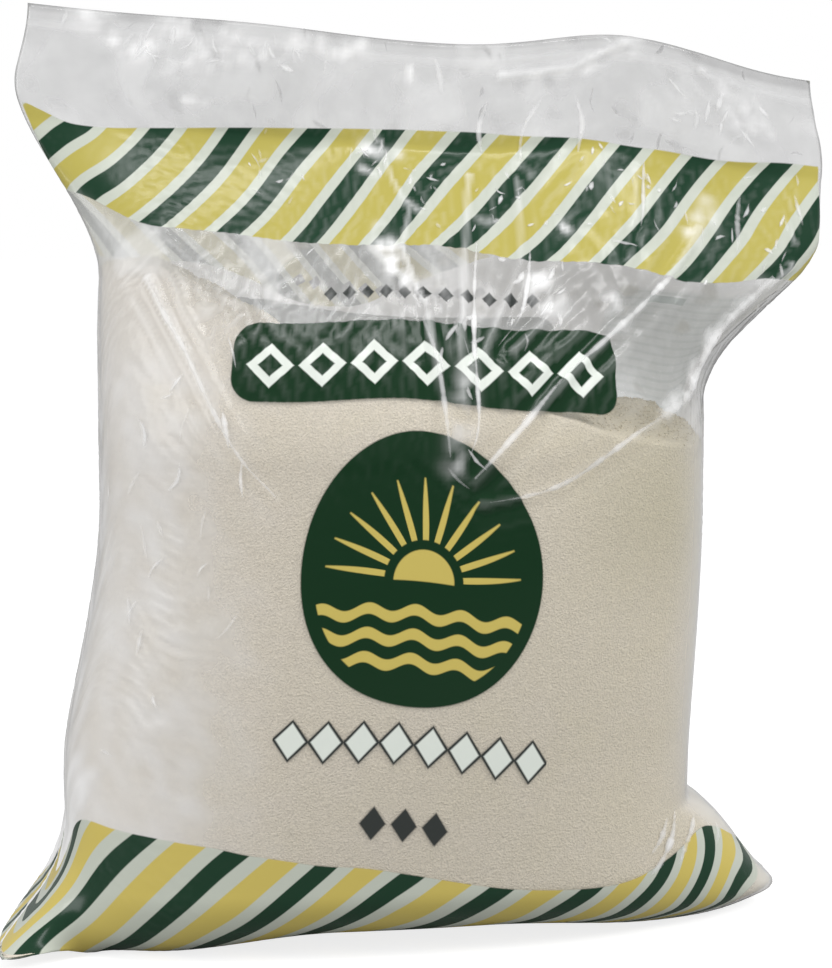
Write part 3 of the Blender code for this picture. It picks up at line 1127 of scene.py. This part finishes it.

# Fine creases with painted highlights: soft white lines, stress-whitened creases that also stand in for
# glints, on the front film, as strength, width and points across and below the top edge, and clusters of
# short strokes, as number, middle, spread and lengths. Both are in millimetres.
creaseGlints = {
    "seed": 21,
    "step": 0.0012,
    "lift": 0.00025,
    "strength": 0.85,
    "lines": (
        (0.8, 0.8, (-110, 100), (-98, 114), (-87, 127), (-67, 159), (-53, 174)),
        (0.9, 1.8, (129, 71), (118, 91), (110, 110), (103, 122), (85, 138)),
        (0.8, 0.9, (85, 138), (62, 156), (45, 166), (20, 173)),
        (0.9, 1.1, (94, 78), (86, 89), (77, 103), (65, 117), (51, 129)),
        (0.8, 0.9, (51, 129), (35, 145), (26, 154), (15, 166)),
        (0.9, 0.7, (19.5, 78), (18, 100), (17.5, 128), (17, 148), (13, 160)),
        (0.8, 0.6, (37.5, 80), (36.5, 94), (34, 108), (26, 120)),
        (0.8, 0.7, (81, 42), (79, 58), (77, 68)),
        (0.8, 0.8, (66, 76.5), (75.5, 76.5)),
        (0.7, 0.8, (25.5, 19), (22.5, 28.5), (24, 38)),
        (0.7, 0.8, (43.5, 20.6), (38, 30), (37.5, 42)),
        (0.7, 0.8, (55.8, 20), (58.8, 30.5), (58, 40)),
        (0.6, 1, (6.4, 4), (8.5, 11), (9.4, 18)),
        (0.6, 0.9, (-36, 6), (-36.5, 15)),
        (0.7, 0.9, (138, 40), (139, 51)),
        (0.7, 0.9, (0, 112), (4, 130), (6.5, 160)),
        (0.5, 0.9, (116, 44), (113, 56), (112, 68)),
        (0.9, 1.2, (104.5, 280), (96, 291), (86, 299), (80, 302)),
        (0.7, 1, (113, 286), (106, 292), (98, 298), (92, 303)),
        (0.6, 0.9, (98, 283), (91, 290), (84, 294.5)),
        (0.6, 0.9, (122, 292), (117, 298), (112, 302)),
    ),
    "clusters": (
        (16, (-98, 10), (13, 4), (4, 9)),
        (10, (-58, 10), (9, 3.5), (4, 8)),
        (14, (-15, 43), (5, 6), (3, 7)),
        (12, (2, 52), (5, 9), (2, 5)),
        (14, (30, 56), (10, 7), (2, 5)),
        (16, (60, 52), (11, 11), (2, 5)),
        (18, (95, 55), (12, 9), (2, 7)),
        (12, (128, 52), (8, 10), (2, 6)),
        (14, (110, 18), (10, 5), (4, 9)),
        (12, (-62, 50), (10, 10), (2, 6)),
        (16, (43, 99), (8, 8), (3, 8)),
        (10, (12, 135), (6, 16), (4, 10)),
        (22, (-85, 200), (14, 45), (5, 14)),
    ),
    "back": (90, (0, 50), (80, 40), (3, 10)),
    "strokeTurn": (1.7, 0.7),
    "strokeBend": 0.6,
    "strokeWidth": (0.0004, 0.0008),
    "strokeStrength": (0.35, 0.95),
    "unevenSpread": 1.6,
    "unevenShare": 0.3,
    "unevenBase": 0.75,
    "unevenLimits": (0.2, 1.3),
    "limits": ((-0.140, 0.003), (0.140, 0.380)),
}


# Where places on a panel's flat film lie in space, a little above the film.
def onFilm(panel, places):
    at = (places[:, 0] + film["halfWidth"]) / (2 * film["halfWidth"]) * (columns - 1)
    left = np.clip(at.astype(int), 0, columns - 2)
    points = np.zeros((len(places), 3))
    for k in (0, 1):
        share = np.abs(1 - k - (at - left))
        row = [np.interp(high, up[panel][:, c], np.arange(rows)) for high, c in zip(places[:, 1], left + k)]
        low = np.clip(np.array(row).astype(int), 0, rows - 2)
        for step in (0, 1):
            weight = (share * np.abs(1 - step - (row - low)))[:, None]
            points += weight * filmPanels[panel, low + step, left + k]
            points += weight * creaseGlints["lift"] * filmNormals[panel, low + step, left + k]
    return points


# A curve through the points, in even steps.
def smoothLine(points, step):
    points = np.array(points, float)
    along = np.linspace(0, len(points) - 1, 12 * len(points))
    at = np.clip(along.astype(int), 0, len(points) - 2)
    part = (along - at)[:, None]
    slopes = np.gradient(points, axis=0)
    start, end = points[at], points[at + 1]
    spread = (end - start) * part ** 2 * (3 - 2 * part) + start
    spread += slopes[at] * part * (1 - part) ** 2 - slopes[at + 1] * part ** 2 * (1 - part)
    return evenly(spread, max(4, round(lengthsOf(spread)[-1] / step)))[0]


def creaseGlintLines():
    dice = np.random.default_rng(creaseGlints["seed"])
    lines = [(0, strength, metres(width), metres(points)) for strength, width, *points in creaseGlints["lines"]]
    groups = [(0,) + group for group in creaseGlints["clusters"]] + [(1,) + creaseGlints["back"]]
    for panel, count, middle, spread, lengths in groups:
        for _ in range(count):
            place = metres(middle) + dice.normal(0, 1, 2) * metres(spread)
            place = np.clip(place, *creaseGlints["limits"])
            turn = dice.normal(*creaseGlints["strokeTurn"])
            bend = dice.uniform(-creaseGlints["strokeBend"], creaseGlints["strokeBend"])
            half = 0.5 * dice.uniform(*metres(lengths))
            start = place - half * np.array([math.cos(turn), math.sin(turn)])
            end = place + half * np.array([math.cos(turn + bend), math.sin(turn + bend)])
            width = dice.uniform(*creaseGlints["strokeWidth"])
            lines.append((panel, dice.uniform(*creaseGlints["strokeStrength"]), width, (start, place, end)))
    return lines


# Clear where a strip fades, white where it is strong: painted highlight.
def creaseGlintMaterial():
    material, tree = newMaterial("crease_glint_film")
    clear = node(tree, "ShaderNodeBsdfTransparent").outputs[0]
    white = node(tree, "ShaderNodeBsdfDiffuse", {0: filmLook["frostAndGlintWhite"]}).outputs[0]
    finishShader(mixShader(attribute(tree, "strength"), clear, white))
    return material


# Each crease glint is a thin white strip, five points wide, that fades towards its sides and ends: a painted
# highlight on the film.
def makeCreaseGlints():
    dice = np.random.default_rng(creaseGlints["seed"])
    spread = np.array((-1.0, -0.5, 0.0, 0.5, 1.0))
    points, quadsOf, strengths, first = [], [], [], 0
    for panel, strength, width, line in creaseGlintLines():
        flatLine = smoothLine([(side, film["height"] - below) for side, below in line], creaseGlints["step"])
        count = len(flatLine)
        ahead = np.gradient(flatLine, axis=0)
        ahead /= np.linalg.norm(ahead, axis=1)[:, None]
        beside = np.stack([-ahead[:, 1], ahead[:, 0]], 1)
        taper = np.sin(math.pi * np.linspace(0.03, 0.97, count)) ** 0.5
        uneven = np.convolve(dice.normal(0, creaseGlints["unevenSpread"], count + 4), (0.2,) * 5, "valid")
        uneven = np.clip(creaseGlints["unevenBase"] + creaseGlints["unevenShare"] * uneven, *creaseGlints["unevenLimits"])
        half = 1.5 * width * taper * uneven
        wide = flatLine[:, None] + beside[:, None] * (half[:, None] * spread)[..., None]
        points.append(onFilm(panel, wide.reshape(-1, 2)))
        strengths.append((strength * (taper * uneven)[:, None] * (1 - spread ** 2)).ravel())
        index = first + np.arange(count * 5).reshape(count, 5)
        quadsOf.append(quads(index, panel == 0))
        first += count * 5
    piece = makeMesh("film_crease_glints", np.concatenate(points), np.concatenate(quadsOf))
    storeValues(piece, "strength", np.clip(np.concatenate(strengths) * creaseGlints["strength"], 0, 1))
    piece.data.materials.append(creaseGlintMaterial())
    return piece


filmNormals = panelNormals(filmPanels)
creaseGlintPiece = makeCreaseGlints()
print("creases ready", len(creaseGlintPiece.data.polygons), "faces")

sugar = {
    "inset": 0.0005,
    "smoothing": 10,
    "topLine": (
        (-150, 232), (-100, 228), (-70, 212), (-30, 192), (30, 186), (60, 176), (100, 168), (150, 164),
    ),
    "rows": 150,
    "capRows": 36,
    "capRise": 0.010,
    "capDepth": 0.090,
    "grainDensity": 150000.0,
    "grainSize": 0.00065,
    "grainScale": (0.6, 1.2),
    "lumps": 0.0009,
    "lumpBlur": 12,
    "ragged": 0.0005,
    "raggedWaves": ((1, 61, 0), (0.6, 137, 1.7), (0.4, 263, 0.4)),
    "weld": 0.00002,
    "seed": 5,
}


# The lowest value among the 25 points round each one.
def lowest(values):
    padded = np.pad(values, 2, mode="edge")
    return np.min([padded[r:r + rows, c:c + columns] for r in range(5) for c in range(5)], 0)


def fillHeight(x):
    ragged = sum(size * np.sin(x * pace + phase) for size, pace, phase in sugar["raggedWaves"])
    return edgeOf(sugar["topLine"], x) + sugar["ragged"] * ragged


def sampleColumns(grid, at):
    low = np.minimum(at.astype(int), rows - 2)
    part = (at - low)[..., None]
    column = np.arange(columns)[None]
    return grid[low, column] * (1 - part) + grid[low + 1, column] * part


# The sugar lies just inside the film, and dents where the film dents.
def sugarPanel(side):
    offset = ((filmPanels[side] - home[side]) * normals[side]).sum(-1)
    offset = blurred(lowest(offset), sugar["smoothing"]) - sugar["inset"]
    grid = home[side] + normals[side] * offset[..., None]
    grid[..., 2] = np.maximum(grid[..., 2], crumple["floorGap"])
    shoulder = rows // 3
    top = [
        np.interp(fillHeight(grid[rows // 2, c, 0]), grid[shoulder:, c, 2], np.arange(shoulder, rows))
        for c in range(columns)
    ]
    return sampleColumns(grid, np.linspace(0, 1, sugar["rows"])[:, None] * np.array(top)[None])


# Front and back meet in a cap, the sugar's open top.
def makeSugar():
    front, back = sugarPanel(0), sugarPanel(1)
    shares = np.linspace(0, 1, sugar["capRows"])[:, None, None]
    cap = front[-1][None] * (1 - shares) + back[-1][None] * shares
    lumps = blurred(np.random.default_rng(sugar["seed"]).normal(0, 1, cap.shape[:2]), sugar["lumpBlur"])
    lumps *= sugar["lumps"] / lumps.std()
    thick = np.clip((back[-1] - front[-1])[:, 1] / sugar["capDepth"], 0, 1)[None]
    cap[..., 2] += np.sin(math.pi * shares[..., 0]) * (sugar["capRise"] + lumps) * thick
    loop = np.concatenate([front, cap[1:-1], back[:0:-1]])
    index = np.arange(len(loop) * columns).reshape(len(loop), columns)
    piece = makeMesh("sugar_fill", loop.reshape(-1, 3), quads(np.concatenate([index, index[:1]]), False))
    isOpen = np.zeros(loop.shape[:2])
    isOpen[len(front):len(front) + len(cap) - 2, 1:-1] = 1
    storeValues(piece, "open", isOpen)
    mesh = bmesh.new()
    mesh.from_mesh(piece.data)
    bmesh.ops.remove_doubles(mesh, verts=mesh.verts, dist=sugar["weld"])
    bmesh.ops.recalc_face_normals(mesh, faces=mesh.faces)
    mesh.to_mesh(piece.data)
    mesh.free()
    piece.data.shade_smooth()
    return piece


sugarPiece = makeSugar()
print("sugar ready", len(sugarPiece.data.polygons), "faces")

sugarLook = {
    "pale": srgb(222, 213, 198),
    "warm": srgb(220, 211, 189),
    "warmth": (3.6, 0.45),
    "deep": srgb(204, 196, 172),
    "deepAt": (0.085, 0.150),
    "deepReach": 0.055,
    "clump": 55,
    "clumpShare": 0.9,
    "grain": 1500,
    "grainShade": (0.5, 0.72),
    "grainDepth": 0.0004,
    "roughness": 0.55,
}


# Pale sugar, warmer towards the right, with a darker patch on the right side: painted shade.
def sugarMaterial():
    look = sugarLook
    material, tree = newMaterial("sugar_grains")
    place = node(tree, "ShaderNodeTexCoord").outputs["Object"]
    crystals, clumps = noise(place, look["grain"], 1.0, 0.0), noise(place, look["clump"], 2.0, 0.4)
    right, _, above = parts(place)
    warmth = scaled(right, *look["warmth"], True)
    warmth = scaled(minus(clumps, 0.5), look["clumpShare"], warmth, True)
    color = mixColor(warmth, look["pale"], look["warm"])
    # A darker patch on the right side of the sugar: painted shade.
    deep = [over(minus(value, at), look["deepReach"]) for value, at in zip((right, above), look["deepAt"])]
    inputs = {0: length(*deep), 1: 1.0, 2: 0.0}
    deep = node(tree, "ShaderNodeMapRange", inputs, interpolation_type="SMOOTHSTEP").outputs[0]
    inputs = {0: mixColor(deep, color, look["deep"]), "Scale": scaled(crystals, *look["grainShade"])}
    shaded = node(tree, "ShaderNodeVectorMath", inputs, operation="SCALE").outputs[0]
    bump = node(tree, "ShaderNodeBump", {"Distance": look["grainDepth"], "Height": crystals}).outputs[0]
    inputs = {"Base Color": shaded, "Roughness": look["roughness"], "Normal": bump}
    finishShader(node(tree, "ShaderNodeBsdfPrincipled", inputs).outputs[0])
    return material


sugarPiece.data.materials.append(sugarMaterial())


def randomVector(tree, low, high, seed):
    inputs = {0: (low,) * 3, 1: (high,) * 3, "Seed": seed}
    return node(tree, "FunctionNodeRandomValue", inputs, data_type="FLOAT_VECTOR").outputs[0]


# A Geometry Nodes tree that scatters loose grains over the open top of the sugar.
def grainTree(material):
    tree = bpy.data.node_groups.new("loose_grains", "GeometryNodeTree")
    for name, kind in (("Geometry", "Geometry"), ("Density", "Float"), ("Grain", "Float"), ("Seed", "Int")):
        tree.interface.new_socket(name, in_out="INPUT", socket_type="NodeSocket" + kind)
    tree.interface.new_socket("Geometry", in_out="OUTPUT", socket_type="NodeSocketGeometry")
    start = node(tree, "NodeGroupInput").outputs
    isOpen = node(tree, "GeometryNodeInputNamedAttribute", {"Name": "open"}, data_type="FLOAT")
    density = times(isOpen.outputs["Attribute"], start["Density"])
    inputs = {"Mesh": start["Geometry"], "Density": density, "Seed": start["Seed"]}
    points = node(tree, "GeometryNodeDistributePointsOnFaces", inputs).outputs["Points"]
    side = node(tree, "ShaderNodeCombineXYZ", {axis: start["Grain"] for axis in "XYZ"}).outputs[0]
    cube = node(tree, "GeometryNodeMeshCube", {"Size": side}).outputs["Mesh"]
    turn = randomVector(tree, 0, math.tau, start["Seed"])
    size = randomVector(tree, *sugar["grainScale"], start["Seed"])
    inputs = {"Points": points, "Instance": cube, "Rotation": turn, "Scale": size}
    grains = node(tree, "GeometryNodeInstanceOnPoints", inputs).outputs["Instances"]
    real = node(tree, "GeometryNodeRealizeInstances", {"Geometry": grains}).outputs["Geometry"]
    painted = node(tree, "GeometryNodeSetMaterial", {"Geometry": real, "Material": material})
    node(tree, "NodeGroupOutput", {"Geometry": painted.outputs["Geometry"]})
    return tree


# Runs the tree on a copy of the sugar and keeps the result as a plain mesh.
def makeGrains():
    piece = newObject("sugar_grains", sugarPiece.data.copy())
    modifier = piece.modifiers.new("nodes", "NODES")
    modifier.node_group = grainTree(sugarPiece.data.materials[0])
    sockets = {item.name: item.identifier for item in modifier.node_group.interface.items_tree}
    values = {"Density": sugar["grainDensity"], "Grain": sugar["grainSize"], "Seed": sugar["seed"]}
    for name, value in values.items():
        modifier[sockets[name]] = value
    evaluated = piece.evaluated_get(bpy.context.evaluated_depsgraph_get())
    mesh = bpy.data.meshes.new_from_object(evaluated)
    piece.modifiers.clear()
    piece.data = mesh
    mesh.name = piece.name
    return piece


grainPiece = makeGrains()
print("loose grains", len(grainPiece.data.polygons) // 6)

# A white floor and a white world to the camera, greyer to everything else; lamps as place, size, power
# and whether the film mirrors them.
stage = {
    "floorSize": 12.0,
    "floorGlow": 0.80,
    "floorShade": 0.40,
    "worldGrey": 0.52,
    "lampAim": (0, 0, 0.15),
    "lamps": {
        "key": ((-1.25, -0.6, 0.65), (0.75, 1.0), 10, True),
        "side": ((0.95, -0.55, 0.85), (0.40, 0.5), 8, False),
        "above": ((0.1, -0.5, 1.2), (0.9, 0.15), 4, True),
    },
}


def makeStage():
    bpy.ops.mesh.primitive_plane_add(size=stage["floorSize"], location=(0, 0, 0))
    floor = bpy.context.object
    floor.name = "floor"
    material, tree = newMaterial("floor_white")
    shader = node(tree, "ShaderNodeBsdfDiffuse", {0: (stage["floorShade"],) * 3 + (1,)})
    seen = node(tree, "ShaderNodeLightPath").outputs["Is Camera Ray"]
    glow = node(tree, "ShaderNodeEmission", {1: times(seen, stage["floorGlow"])})
    finishShader(node(tree, "ShaderNodeAddShader", {0: shader.outputs[0], 1: glow.outputs[0]}).outputs[0])
    floor.data.materials.append(material)


def areaLight(name, place, size, power, mirrored):
    data = bpy.data.lights.new(name, "AREA")
    data.shape = "RECTANGLE"
    data.size, data.size_y = size
    data.energy = power
    lamp = newObject(name, data)
    lamp.visible_glossy = mirrored
    lamp.location = place
    lamp.rotation_euler = (Vector(stage["lampAim"]) - Vector(place)).to_track_quat("-Z", "Y").to_euler()


def makeLight():
    world = bpy.data.worlds.new("studio")
    bpy.context.scene.world = world
    world.use_nodes = True
    world.node_tree.nodes.clear()
    grey = stage["worldGrey"]
    seen = node(world.node_tree, "ShaderNodeLightPath").outputs["Is Camera Ray"]
    shade = mixColor(seen, (grey, grey, grey * 1.01, 1), (1, 1, 1, 1))
    finishShader(node(world.node_tree, "ShaderNodeBackground", {0: shade}).outputs[0], "World")
    for name, lamp in stage["lamps"].items():
        areaLight(name, *lamp)


makeStage()
makeLight()
bpy.context.scene.view_settings.view_transform = "Standard"

pieces = ((filmPiece, "film"), (creaseGlintPiece, "film"), (sugarPiece, "sugar"), (grainPiece, "sugar"))
for piece, slotName in pieces:
    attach(piece, "root")
    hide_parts("sugar_bag")

print("cad box", [tuple(round(v, 4) for v in corner) for corner in cadBox])
